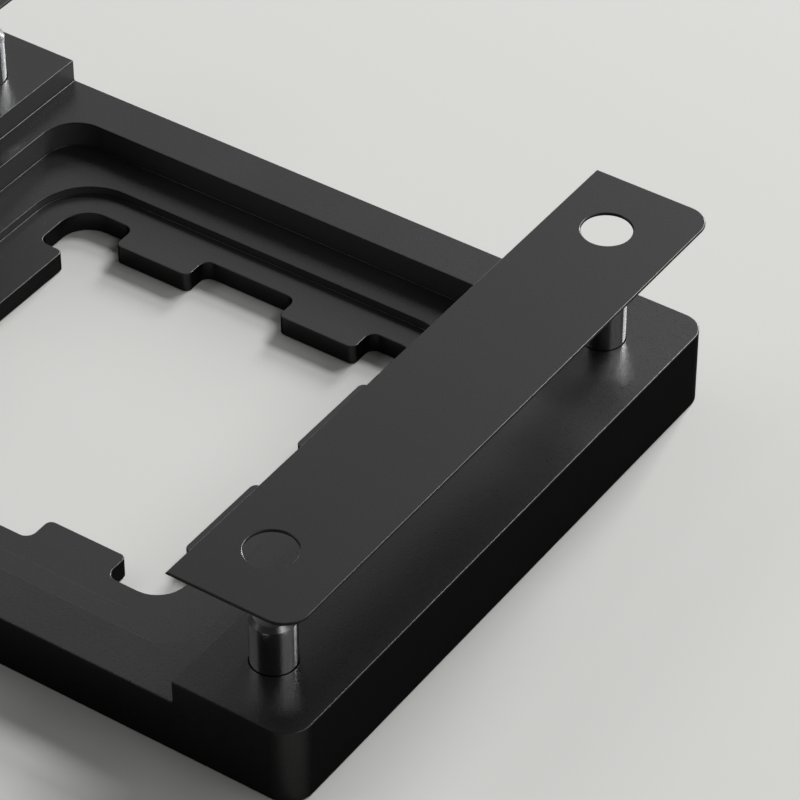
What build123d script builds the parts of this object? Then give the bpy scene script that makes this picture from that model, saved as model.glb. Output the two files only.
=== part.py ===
from build123d import *
import os

# Retention frame for a square processor package, in millimetres.
# Origin: centre of the cooler-side face. X runs along the frame, Y across it,
# and Z rises towards the motherboard side, which carries the pockets.

# Frame plate and the two end rails
frame_length = 74.0
frame_width = 56.4
plate_thickness = 4.9
rail_rise = 2.06
rail_width = 10.82
outer_corner_radius = 2.1
edge_break = 0.09
hole_edge_break = 0.03
cutter_corner = 0.1

# Window round the heat spreader, with two pressing tabs on each side
window_size = 35.06
window_corner_radius = 2.6
tab_length = 2.57
side_tab_near = 2.7
side_tab_corner_gap = 5.63
end_tab_near = 4.55
end_tab_corner_gap = 5.53
tab_tip_radius = 0.6
tab_root_radius = 0.85

# Pocket that holds the package edge, and the one above it that clears the socket
package_lip_x = 2.57
package_lip_y = 2.64
package_pocket_radius = 5.2
package_pocket_depth = 3.08
socket_ledge_x = 3.55
socket_ledge_y = 3.73
socket_pocket_radius = 3.2
socket_pocket_depth = 2.32

# Screws, set in from the frame's outer faces, and the holes they pass through
screw_inset_x = 6.1
screw_inset_y = 6.075
shank_diameter = 3.65
shank_proud = 4.46
neck_diameter = 3.3
neck_sunk = 0.08
tip_chamfer = 0.34
hole_clearance = 0.1
head_diameter = 7.0
head_height = 2.4
head_edge_break = 0.25
seat_clearance = 0.4
drive_core_diameter = 2.6
drive_lobe_circle = 2.9
drive_lobe_diameter = 1.1
drive_depth = 1.5

# Insulating film sheets, lifted off the rails
sheet_thickness = 0.3
sheet_edge_break = 0.1
sheet_lift = 10.32
sheet_hole_clearance = 0.4

# Sizes that follow from those above
frame_height = plate_thickness + rail_rise
rail_inner_x = frame_length / 2 - rail_width
tab_reach = window_size / 2 - tab_length
side_tab_far = window_size / 2 - side_tab_corner_gap
end_tab_far = window_size / 2 - end_tab_corner_gap
package_pocket_x = window_size + 2 * package_lip_x
package_pocket_y = window_size + 2 * package_lip_y
package_pocket_floor = plate_thickness - package_pocket_depth
socket_pocket_x = package_pocket_x + 2 * socket_ledge_x
socket_pocket_y = package_pocket_y + 2 * socket_ledge_y
socket_pocket_floor = plate_thickness - socket_pocket_depth
screw_x = frame_length / 2 - screw_inset_x
screw_y = frame_width / 2 - screw_inset_y
screw_tip_height = frame_height + shank_proud
neck_top = frame_height - neck_sunk
clearance_hole_diameter = shank_diameter + hole_clearance
counterbore_diameter = head_diameter + seat_clearance
counterbore_depth = head_height
sheet_hole_diameter = shank_diameter + sheet_hole_clearance
sheet_bottom_height = frame_height + sheet_lift
sheet_top_height = sheet_bottom_height + sheet_thickness


def rounded_block(size_x, size_y, z_low, z_high, corner, floor_corner=0):
    """Block with rounded vertical edges, and a small bevel round its lower face."""
    with BuildPart() as block:
        with BuildSketch(Plane.XY.offset(z_low)):
            RectangleRounded(size_x, size_y, corner)
        extrude(amount=z_high - z_low)
        if floor_corner:
            chamfer(block.edges().group_by(Axis.Z)[0], floor_corner)
    return block.part


def near(value, target):
    return abs(value - target) < 0.005


def window_outline():
    """Face of the window: a rounded square notched by eight rounded tabs."""
    half = window_size / 2
    depth = half + 1 - tab_reach
    shift = tab_reach + depth / 2
    with BuildSketch() as window:
        RectangleRounded(window_size, window_size, window_corner_radius)
        for sign in (-1, 1):
            for side in (-1, 1):
                along = side * (end_tab_near + end_tab_far) / 2
                with Locations((along, sign * shift)):
                    Rectangle(end_tab_far - end_tab_near, depth, mode=Mode.SUBTRACT)
                along = side * (side_tab_near + side_tab_far) / 2
                with Locations((sign * shift, along)):
                    Rectangle(depth, side_tab_far - side_tab_near, mode=Mode.SUBTRACT)
        tips = [v for v in window.vertices() if near(max(abs(v.X), abs(v.Y)), tab_reach)]
        fillet(tips, tab_tip_radius)
        roots = []
        for v in window.vertices():
            edge_tab = near(abs(v.Y), half) and abs(v.X) < end_tab_far + 0.01
            side_tab = near(abs(v.X), half) and abs(v.Y) < side_tab_far + 0.01
            if edge_tab or side_tab:
                roots.append(v)
        fillet(roots, tab_root_radius)
    return window.sketch


def is_flat_at(edge, z):
    box = edge.bounding_box()
    return near(box.min.Z, z) and near(box.max.Z, z)


def reach_of(edge):
    """Largest distance from the middle, along X and along Y."""
    box = edge.bounding_box()
    return max(abs(box.min.X), abs(box.max.X)), max(abs(box.min.Y), abs(box.max.Y))


def build_frame():
    plate = rounded_block(frame_length, frame_width, 0, frame_height, outer_corner_radius)

    # the middle is lowered, which leaves a rail across each end
    middle = Pos(0, 0, plate_thickness + 5) * Box(2 * rail_inner_x, frame_width + 10, 10)
    feet = []
    for e in middle.edges():
        if is_flat_at(e, plate_thickness) and e.length > frame_width:
            feet.append(e)
    plate -= chamfer(feet, cutter_corner)

    # outer rim of the motherboard side, up and over both rails
    rim = []
    for e in plate.edges():
        box = e.bounding_box()
        inner_corner = near(abs(box.min.X), rail_inner_x) and near(box.size.X, 0)
        side_line = near(reach_of(e)[1], frame_width / 2) and near(box.size.Y, 0)
        above_plate = box.min.Z > plate_thickness - 0.01
        plate_line = e.length > rail_inner_x
        foot = e.length < 2 * cutter_corner
        if is_flat_at(e, frame_height):
            rim.append(e)
        elif side_line and above_plate and (inner_corner or plate_line or foot):
            rim.append(e)
    plate = chamfer(rim, edge_break)
    plate = chamfer([e for e in plate.edges() if is_flat_at(e, 0)], edge_break)

    plate -= rounded_block(
        socket_pocket_x, socket_pocket_y, socket_pocket_floor,
        plate_thickness + 1, socket_pocket_radius, cutter_corner,
    )
    plate -= rounded_block(
        package_pocket_x, package_pocket_y, package_pocket_floor,
        plate_thickness, package_pocket_radius, cutter_corner,
    )
    plate -= extrude(Pos(0, 0, -1) * window_outline(), amount=plate_thickness)

    # screw holes, each with a seat for the screw's head on the cooler side
    for sx in (-1, 1):
        for sy in (-1, 1):
            spot = Pos(sx * screw_x, sy * screw_y, 0)
            plate -= spot * Pos(0, 0, frame_height / 2) * Cylinder(
                clearance_hole_diameter / 2, frame_height + 2
            )
            plate -= spot * Pos(0, 0, counterbore_depth / 2 - 0.5) * Cylinder(
                counterbore_diameter / 2, counterbore_depth + 1
            )

    # pocket, window and hole rims
    window_reach = window_size / 2 + 0.1
    package_reach = package_pocket_y / 2 + 0.1
    socket_reach = socket_pocket_y / 2 + 0.01
    rims = []
    for e in plate.edges():
        reach = max(reach_of(e))
        if is_flat_at(e, package_pocket_floor) and reach < window_reach:
            rims.append(e)
        elif is_flat_at(e, socket_pocket_floor) and reach < package_reach:
            rims.append(e)
        elif is_flat_at(e, plate_thickness) and reach < socket_reach:
            rims.append(e)
        elif is_flat_at(e, 0) and reach < window_reach:
            rims.append(e)
    plate = chamfer(rims, edge_break)

    hole_rims = []
    for e in plate.edges():
        if e.geom_type != GeomType.CIRCLE:
            continue
        seat_rim = is_flat_at(e, 0) and near(e.radius, counterbore_diameter / 2)
        top_rim = is_flat_at(e, frame_height) and near(e.radius, clearance_hole_diameter / 2)
        if seat_rim or top_rim:
            hole_rims.append(e)
    return chamfer(hole_rims, hole_edge_break)


def build_screw(x, y):
    """Screw with a plain end and a thinner neck, head down in its seat."""
    seat = counterbore_depth
    low = seat - head_height
    with BuildPart() as screw:
        with Locations((0, 0, (seat + low) / 2)):
            Cylinder(head_diameter / 2, head_height)
        chamfer(screw.edges().group_by(Axis.Z)[0], head_edge_break)
        with Locations((0, 0, (seat + neck_top) / 2)):
            Cylinder(neck_diameter / 2, neck_top - seat)
        with Locations((0, 0, (neck_top + screw_tip_height) / 2)):
            Cylinder(shank_diameter / 2, screw_tip_height - neck_top)
        chamfer(screw.edges().group_by(Axis.Z)[-1], tip_chamfer)
        # six-lobed driver recess in the head
        with BuildSketch(Plane.XY.offset(low)):
            Circle(drive_core_diameter / 2)
            with PolarLocations(drive_lobe_circle / 2, 6):
                Circle(drive_lobe_diameter / 2)
        extrude(amount=drive_depth, mode=Mode.SUBTRACT)
    return Pos(x, y, 0) * screw.part


def build_sheet(side):
    """Film sheet in the rail's outline, lifted straight up off it."""
    low = sheet_bottom_height
    middle = side * (frame_length / 2 + rail_inner_x) / 2
    sheet = Pos(middle, 0, low + sheet_thickness / 2) * Box(rail_width, frame_width, sheet_thickness)
    corners = []
    for e in sheet.edges():
        box = e.bounding_box()
        if near(box.size.X, 0) and near(box.size.Y, 0) and near(abs(box.min.X), frame_length / 2):
            corners.append(e)
    sheet = fillet(corners, outer_corner_radius)
    for sy in (-1, 1):
        sheet -= Pos(side * screw_x, sy * screw_y, low) * Cylinder(
            sheet_hole_diameter / 2, 4 * sheet_thickness
        )
    faces = [e for e in sheet.edges() if is_flat_at(e, low) or is_flat_at(e, sheet_top_height)]
    return chamfer(faces, sheet_edge_break)


def main():
    os.makedirs("parts", exist_ok=True)
    pieces = {"frame": build_frame()}
    for end, sx in (("left", -1), ("right", 1)):
        for face, sy in (("front", -1), ("back", 1)):
            name = "screw_" + face + "_" + end
            pieces[name] = build_screw(sx * screw_x, sy * screw_y)
        pieces["insulating_sheet_" + end] = build_sheet(sx)
    for name, piece in pieces.items():
        piece.label = name
        export_step(piece, "parts/" + name + ".step")
        box = piece.bounding_box()
        print(name, "valid", piece.is_valid, "mm3", round(piece.volume, 2), box.min, box.max)


main()
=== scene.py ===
import bpy
from math import cos, pi, radians, sin
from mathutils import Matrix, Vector

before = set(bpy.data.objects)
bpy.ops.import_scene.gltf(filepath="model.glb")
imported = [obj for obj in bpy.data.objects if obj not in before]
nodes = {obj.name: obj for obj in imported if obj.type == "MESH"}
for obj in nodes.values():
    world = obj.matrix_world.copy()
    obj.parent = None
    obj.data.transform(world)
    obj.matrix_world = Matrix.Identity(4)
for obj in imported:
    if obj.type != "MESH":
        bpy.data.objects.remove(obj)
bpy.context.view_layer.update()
mmPerMetre = 1000
print("frame loaded:", len(nodes), "nodes")


def linear(hexColour):
    values = [int(hexColour[i:i + 2], 16) / 255 for i in (1, 3, 5)]
    curve = [v / 12.92 if v <= 0.04045 else ((v + 0.055) / 1.055) ** 2.4 for v in values]
    return (*curve, 1.0)


def addNode(tree, kind, values=None, links=None, **settings):
    node = tree.nodes.new(kind)
    for name, setting in settings.items():
        setattr(node, name, setting)
    for socket, value in (values or {}).items():
        node.inputs[socket].default_value = value
    for socket, source in (links or {}).items():
        tree.links.new(source, node.inputs[socket])
    return node


def piecesNamed(start):
    # start is how the names begin, one string or several in brackets
    return [nodes[name] for name in nodes if name.startswith(start)]


# the narrow bevels shade as rounded edges: each of their corners takes the normal of
# the wide face that it touches, and nothing moves
edgeShading = {
    "flatFrom": 0.99,     # upward part of a normal, from which a face is level
    "bevelFrom": 0.6,     # between these two it is a bevel at 45 degrees
    "bevelTo": 0.8,
    "touchMm": 0.002,     # a corner this near to a level face belongs to it
}


def makeEdgeShading(cfg):
    tree = bpy.data.node_groups.new("edgeShading", "GeometryNodeTree")
    for direction in ("INPUT", "OUTPUT"):
        tree.interface.new_socket(
            "Geometry", in_out=direction, socket_type="NodeSocketGeometry",
        )
    for name, value in cfg.items():
        size = tree.interface.new_socket(name, in_out="INPUT", socket_type="NodeSocketFloat")
        size.default_value = value
    given = addNode(tree, "NodeGroupInput").outputs
    normal = addNode(tree, "GeometryNodeInputNormal").outputs

    # which faces are level, and which are bevels
    faceParts = addNode(
        tree, "ShaderNodeSeparateXYZ", links={"Vector": normal["True Normal"]},
    ).outputs
    upward = addNode(
        tree, "ShaderNodeMath", links={0: faceParts["Z"]}, operation="ABSOLUTE",
    ).outputs["Value"]
    limits = {"flatFrom": "GREATER_THAN", "bevelFrom": "GREATER_THAN", "bevelTo": "LESS_THAN"}
    isLevel, aboveLow, underHigh = [
        addNode(
            tree, "FunctionNodeCompare",
            links={"A": upward, "B": given[name]}, operation=operation,
        ).outputs["Result"]
        for name, operation in limits.items()
    ]
    slanted = addNode(
        tree, "FunctionNodeBooleanMath", links={0: aboveLow, 1: underHigh}, operation="AND",
    )
    isBevel = addNode(
        tree, "GeometryNodeFieldOnDomain", links={"Value": slanted.outputs["Boolean"]},
        data_type="BOOLEAN", domain="FACE",
    )

    # which corners lie on a level face
    levelFaces = addNode(
        tree, "GeometryNodeSeparateGeometry",
        links={"Geometry": given["Geometry"], "Selection": isLevel}, domain="FACE",
    )
    toLevel = addNode(
        tree, "GeometryNodeProximity", links={"Geometry": levelFaces.outputs["Selection"]},
        target_element="POINTS",
    )
    touch = addNode(
        tree, "ShaderNodeMath", {1: mmPerMetre}, {0: given["touchMm"]}, operation="DIVIDE",
    )
    onLevel = addNode(
        tree, "FunctionNodeCompare",
        links={"A": toLevel.outputs["Distance"], "B": touch.outputs["Value"]},
        operation="LESS_THAN",
    )

    # those turn straight up or down, and a bevel's other corners turn straight outwards
    ownParts = addNode(tree, "ShaderNodeSeparateXYZ", links={"Vector": normal["Normal"]}).outputs
    side = addNode(tree, "ShaderNodeMath", links={0: ownParts["Z"]}, operation="SIGN")
    upOrDown = addNode(tree, "ShaderNodeCombineXYZ", links={"Z": side.outputs["Value"]})
    sideways = addNode(
        tree, "ShaderNodeCombineXYZ", links={"X": ownParts["X"], "Y": ownParts["Y"]},
    )
    outward = addNode(
        tree, "ShaderNodeVectorMath", links={0: sideways.outputs["Vector"]},
        operation="NORMALIZE",
    )
    turned = addNode(
        tree, "GeometryNodeSwitch",
        links={
            "Switch": onLevel.outputs["Result"],
            "False": outward.outputs["Vector"], "True": upOrDown.outputs["Vector"],
        },
        input_type="VECTOR",
    )
    chosen = addNode(
        tree, "GeometryNodeSwitch",
        links={
            "Switch": isBevel.outputs["Value"],
            "False": normal["Normal"], "True": turned.outputs["Output"],
        },
        input_type="VECTOR",
    )
    shaded = addNode(
        tree, "GeometryNodeSetMeshNormal",
        links={"Mesh": given["Geometry"], "Custom Normal": chosen.outputs["Output"]},
        mode="FREE", domain="CORNER",
    )
    addNode(tree, "NodeGroupOutput", links={"Geometry": shaded.outputs["Mesh"]})
    return tree


edgeTree = makeEdgeShading(edgeShading)
for piece in piecesNamed(("frame", "insulating_sheet_")):
    piece.modifiers.new("edgeShading", "NODES").node_group = edgeTree
print("bevels shaded as rounded edges")


def newMaterial(name):
    material = bpy.data.materials.new(name)
    material.use_nodes = True
    tree = material.node_tree
    tree.nodes.clear()
    return material, tree


def addPatterns(tree, cfg):
    # cloudy patterns, each with its real size, fixed to the piece
    place = addNode(tree, "ShaderNodeTexCoord").outputs["Object"]
    patterns = []
    for pattern in cfg["patterns"].values():
        noise = addNode(
            tree, "ShaderNodeTexNoise",
            {
                "Scale": mmPerMetre / pattern["mm"],
                "Detail": pattern["detail"], "Roughness": pattern["sharpness"],
            },
            {"Vector": place},
        )
        patterns.append(noise.outputs["Fac"])
    return place, *patterns


def addSkin(tree, cfg, tone, gloss, height):
    # tone mixes the two colours, gloss varies the roughness, and height dents the surface
    colour = addNode(
        tree, "ShaderNodeMix",
        {"A": linear(cfg["deepColour"]), "B": linear(cfg["paleColour"])},
        {"Factor": tone}, data_type="RGBA",
    )
    low, high = cfg["glossBetween"]
    smoothest = cfg["roughness"] - cfg["roughnessSpread"] / 2
    rough = addNode(
        tree, "ShaderNodeMapRange",
        {
            "From Min": low, "From Max": high,
            "To Min": smoothest, "To Max": smoothest + cfg["roughnessSpread"],
        },
        {"Value": gloss},
    )
    bump = addNode(
        tree, "ShaderNodeBump",
        {"Strength": 1.0, "Distance": cfg["depthMm"] / mmPerMetre}, {"Height": height},
    )
    return colour.outputs["Result"], rough.outputs["Result"], bump.outputs["Normal"]


def addSurface(tree, values, links=None):
    shader = addNode(tree, "ShaderNodeBsdfPrincipled", values, links)
    addNode(tree, "ShaderNodeOutputMaterial", links={"Surface": shader.outputs["BSDF"]})


# upward part of a face's normal: walls up to the first value, level from the second,
# where bevels count as level
levelSplit = {"wallTo": 0.3, "levelFrom": 0.6}


def addLevelMask(tree, cfg):
    # 1 on level faces, 0 on walls
    facing = addNode(tree, "ShaderNodeNewGeometry").outputs["True Normal"]
    parts = addNode(tree, "ShaderNodeSeparateXYZ", links={"Vector": facing}).outputs
    upward = addNode(tree, "ShaderNodeMath", links={0: parts["Z"]}, operation="ABSOLUTE")
    mask = addNode(
        tree, "ShaderNodeMapRange",
        {"From Min": cfg["wallTo"], "From Max": cfg["levelFrom"]},
        {"Value": upward.outputs["Value"]},
    )
    return mask.outputs["Result"]


# black anodised aluminium, machined and finely bead blasted before the bath:
# a dark metal with a satin gloss, and a grain that only shows in reflections
anodising = {
    "deepColour": "#2f2f2f",
    "paleColour": "#353535",
    "topMetallic": 0.87,      # the dyed oxide scatters a little light of its own
    "wallMetallic": 0.95,
    "topTint": "#f0f0f0",     # the level faces shine fully at a slant,
    "wallPaintedShadeTint": "#585858",    # and the walls' reflections are dimmed: painted shade
    "specularLevel": 0.22,
    "roughness": 0.3,
    "roughnessSpread": 0.06,
    "glossBetween": (0.3, 0.7),
    "depthMm": 0.01,
    "patterns": {
        # slow unevenness of the dye
        "cloud": {"mm": 9.0, "detail": 3.0, "sharpness": 0.55},
        # blast pits are nearer 0.05 mm, drawn coarser so that they show
        "grain": {"mm": 0.15, "detail": 2.0, "sharpness": 0.6},
    },
}

# the walls between the rails and the pockets' floors are greyer and duller: painted bounce
# light, standing in for the light that they throw on each other
innerPaintedBounce = {
    # from rail to rail, just inside the outer faces, and from below the lower floor up
    "boxMm": {"X": (-26.3, 26.3), "Y": (-28.12, 28.12), "Z": (1.79, 7.1)},
    "floorsBelowMm": 4.86,    # just under the plate's top
    "floorColour": "#282828",
    "floorMetallic": 0.5,
    "wallColour": "#3b3b3b",
}


def addInnerMask(tree, cfg, place, isLevel):
    # inside the box 1 on walls and on level faces below the plate's top, elsewhere 0
    parts = addNode(tree, "ShaderNodeSeparateXYZ", links={"Vector": place}).outputs
    isWall = addNode(tree, "ShaderNodeMath", {0: 1.0}, {1: isLevel}, operation="SUBTRACT")
    isLow = addNode(
        tree, "ShaderNodeMath", {1: cfg["floorsBelowMm"] / mmPerMetre}, {0: parts["Z"]},
        operation="LESS_THAN",
    )
    mask = addNode(
        tree, "ShaderNodeMath",
        links={0: isWall.outputs["Value"], 1: isLow.outputs["Value"]}, operation="MAXIMUM",
    )
    for axis, (low, high) in cfg["boxMm"].items():
        centre, half = (low + high) / 2, (high - low) / 2
        within = addNode(
            tree, "ShaderNodeMath", {1: centre / mmPerMetre, 2: half / mmPerMetre},
            {0: parts[axis]}, operation="COMPARE",
        )
        mask = addNode(
            tree, "ShaderNodeMath",
            links={0: mask.outputs["Value"], 1: within.outputs["Value"]},
            operation="MULTIPLY",
        )
    return mask.outputs["Value"]


def makeAnodising(cfg, inner):
    material, tree = newMaterial("blackAnodisedAluminium")
    place, cloud, grain = addPatterns(tree, cfg)
    dye, rough, dents = addSkin(tree, cfg, cloud, grain, grain)
    isLevel = addLevelMask(tree, levelSplit)
    isInner = addInnerMask(tree, inner, place, isLevel)
    # a dark specular tint on the walls, chosen by their slope: painted shade
    tint = addNode(
        tree, "ShaderNodeMix",
        {"A": linear(cfg["wallPaintedShadeTint"]), "B": linear(cfg["topTint"])},
        {"Factor": isLevel}, data_type="RGBA",
    )
    # greyer walls and floors inside the pockets: painted bounce light
    innerColour = addNode(
        tree, "ShaderNodeMix",
        {"A": linear(inner["wallColour"]), "B": linear(inner["floorColour"])},
        {"Factor": isLevel}, data_type="RGBA",
    )
    colour = addNode(
        tree, "ShaderNodeMix",
        links={"Factor": isInner, "A": dye, "B": innerColour.outputs["Result"]},
        data_type="RGBA",
    )
    outerMetallic = addNode(
        tree, "ShaderNodeMix", {"A": cfg["wallMetallic"], "B": cfg["topMetallic"]},
        {"Factor": isLevel}, data_type="FLOAT",
    )
    innerMetallic = addNode(
        tree, "ShaderNodeMath", {1: inner["floorMetallic"]}, {0: isLevel},
        operation="MULTIPLY",
    )
    metallic = addNode(
        tree, "ShaderNodeMix",
        links={
            "Factor": isInner,
            "A": outerMetallic.outputs["Result"], "B": innerMetallic.outputs["Value"],
        },
        data_type="FLOAT",
    )
    addSurface(
        tree, {"Specular IOR Level": cfg["specularLevel"]},
        {
            "Base Color": colour.outputs["Result"], "Specular Tint": tint.outputs["Result"],
            "Metallic": metallic.outputs["Result"], "Roughness": rough, "Normal": dents,
        },
    )
    return material


# hardened steel, turned and polished: bright, with the faintest rings left by the lathe
steel = {
    "deepColour": "#c0c1c3",
    "paleColour": "#cccdcf",
    "roughness": 0.1,
    "roughnessSpread": 0.03,
    "glossBetween": (0.25, 0.75),
    "patterns": {"smear": {"mm": 2.5, "detail": 2.0, "sharpness": 0.5}},
    "ringMm": 1.885,          # real rings are nearer 0.1 mm apart, drawn coarser
    "ringWobble": 1.5,
    "ringDetail": 2.0,
    "ringDetailScale": 2.0,
    "depthMm": 0.00012,
    "tipFromMm": 11.06,       # above this height the screw's end is left as turned and rougher, its colour darkened as painted shade
    "tipRoughness": 0.28,
    "tipPaintedShadeColour": "#656566",
}
bandsPerUnit = 20 / (2 * pi)  # drawn by a wave texture at scale 1


def makeSteel(cfg):
    material, tree = newMaterial("polishedSteel")
    place, smear = addPatterns(tree, cfg)
    rings = addNode(
        tree, "ShaderNodeTexWave",
        {
            "Scale": mmPerMetre / cfg["ringMm"] / bandsPerUnit,
            "Distortion": cfg["ringWobble"],
            "Detail": cfg["ringDetail"], "Detail Scale": cfg["ringDetailScale"],
        },
        {"Vector": place}, wave_type="BANDS", bands_direction="Z",
    )
    colour, rough, dents = addSkin(tree, cfg, smear, smear, rings.outputs["Fac"])
    height = addNode(tree, "ShaderNodeSeparateXYZ", links={"Vector": place}).outputs["Z"]
    isTip = addNode(
        tree, "ShaderNodeMath", {1: cfg["tipFromMm"] / mmPerMetre}, {0: height},
        operation="GREATER_THAN",
    ).outputs["Value"]
    # the tip's darker colour is painted shade that dims its highlights
    tone = addNode(
        tree, "ShaderNodeMix", {"B": linear(cfg["tipPaintedShadeColour"])},
        {"Factor": isTip, "A": colour}, data_type="RGBA",
    )
    gloss = addNode(
        tree, "ShaderNodeMix", {"B": cfg["tipRoughness"]},
        {"Factor": isTip, "A": rough}, data_type="FLOAT",
    )
    addSurface(
        tree, {"Metallic": 1.0},
        {
            "Base Color": tone.outputs["Result"], "Roughness": gloss.outputs["Result"],
            "Normal": dents,
        },
    )
    return material


# black polyester film with a fine matt texture pressed in by the rollers
film = {
    "deepColour": "#101010",
    "paleColour": "#131313",
    "specularLevel": 0.22,
    "roughness": 0.28,
    "roughnessSpread": 0.02,
    "glossBetween": (0.3, 0.7),
    "cutRoughness": 0.95,     # the cut edges are matt
    "depthMm": 0.00005,
    "patterns": {
        "cloud": {"mm": 14.0, "detail": 2.0, "sharpness": 0.5},
        # the real texture is about 0.03 mm, drawn coarser so that it shows
        "texture": {"mm": 0.2, "detail": 2.0, "sharpness": 0.5},
    },
}


def makeFilm(cfg):
    material, tree = newMaterial("blackPolyesterFilm")
    place, cloud, texture = addPatterns(tree, cfg)
    colour, rough, dents = addSkin(tree, cfg, cloud, texture, texture)
    edgeRough = addNode(
        tree, "ShaderNodeMix", {"A": cfg["cutRoughness"]},
        {"Factor": addLevelMask(tree, levelSplit), "B": rough}, data_type="FLOAT",
    )
    addSurface(
        tree, {"Metallic": 0.0, "Specular IOR Level": cfg["specularLevel"]},
        {"Base Color": colour, "Roughness": edgeRough.outputs["Result"], "Normal": dents},
    )
    return material


materials = {
    "frame": makeAnodising(anodising, innerPaintedBounce),
    "screw_": makeSteel(steel),
    "insulating_sheet_": makeFilm(film),
}
for start, material in materials.items():
    for piece in piecesNamed(start):
        piece.data.materials.clear()
        piece.data.materials.append(material)
print("materials made")


# pale plain floor under the frame
floorPlan = {"halfSize": 1.5, "colour": "#8d8d8b", "roughness": 0.95}


def layFloor(cfg):
    half = cfg["halfSize"]
    corners = [(-half, -half, 0), (half, -half, 0), (half, half, 0), (-half, half, 0)]
    mesh = bpy.data.meshes.new("floor")
    mesh.from_pydata(corners, [], [(0, 1, 2, 3)])
    material, tree = newMaterial("paleFloor")
    addSurface(tree, {"Base Color": linear(cfg["colour"]), "Roughness": cfg["roughness"]})
    mesh.materials.append(material)
    floor = bpy.data.objects.new("floor", mesh)
    bpy.context.scene.collection.objects.link(floor)


layFloor(floorPlan)
print("floor laid")


# soft studio light: a broad dim panel behind, two small bright lamps to its right
# that draw the edges, dimmer panels at the right and left, and a dim room
studio = {
    "aim": (0.0, 0.0, 0.005),     # all lamps face this point from the same distance
    "distance": 1.8,
    "roomColour": "#ffffff",
    "roomStrength": 0.1,
}
# turned from X towards Y, and raised from the floor
lamps = {
    "backPanel": {"turnDeg": 127.0, "riseDeg": 30.2, "size": (1.6, 1.0), "radiance": 1.07},
    "edgeLamp": {"turnDeg": 76.5, "riseDeg": 42.5, "size": (0.68, 0.4), "radiance": 50.0},
    "cornerLamp": {"turnDeg": 93.0, "riseDeg": 22.0, "size": (0.44, 0.68), "radiance": 72.0},
    "sidePanel": {"turnDeg": 12.0, "riseDeg": 49.0, "size": (1.3, 0.44), "radiance": 7.2},
    "leftPanel": {"turnDeg": 196.0, "riseDeg": 46.0, "size": (1.6, 0.52), "radiance": 3.0},
}


def hangLamp(name, plan, cfg):
    width, height = plan["size"]
    light = bpy.data.lights.new(name, "AREA")
    light.shape = "RECTANGLE"
    light.size, light.size_y = width, height
    light.energy = plan["radiance"] * pi * width * height
    lamp = bpy.data.objects.new(name, light)
    turn, rise = radians(plan["turnDeg"]), radians(plan["riseDeg"])
    direction = Vector((cos(rise) * cos(turn), cos(rise) * sin(turn), sin(rise)))
    lamp.location = Vector(cfg["aim"]) + direction * cfg["distance"]
    lamp.rotation_mode = "QUATERNION"
    lamp.rotation_quaternion = direction.to_track_quat("Z", "Y")
    bpy.context.scene.collection.objects.link(lamp)


def lightRoom(cfg):
    world = bpy.data.worlds.new("room")
    world.use_nodes = True
    background = world.node_tree.nodes["Background"]
    background.inputs["Color"].default_value = linear(cfg["roomColour"])
    background.inputs["Strength"].default_value = cfg["roomStrength"]
    bpy.context.scene.world = world


for name, plan in lamps.items():
    hangLamp(name, plan, studio)
lightRoom(studio)
bpy.context.scene.view_settings.view_transform = "Standard"
print("lights hung")


# camera solved from the photograph's edges
shot = {
    "location": (0.160361, -0.195865, 0.21405),
    "anglesDeg": (49.824, 0.0, 34.3),
    "lensMm": 187.44,
    "sensorMm": 36.0,
    "clip": (0.01, 10.0),
}


def placeCamera(cfg):
    optics = bpy.data.cameras.new("camera")
    optics.lens = cfg["lensMm"]
    optics.sensor_width = cfg["sensorMm"]
    optics.clip_start, optics.clip_end = cfg["clip"]
    camera = bpy.data.objects.new("camera", optics)
    camera.location = cfg["location"]
    camera.rotation_euler = [radians(angle) for angle in cfg["anglesDeg"]]
    bpy.context.scene.collection.objects.link(camera)
    bpy.context.scene.camera = camera


placeCamera(shot)
print("camera set")
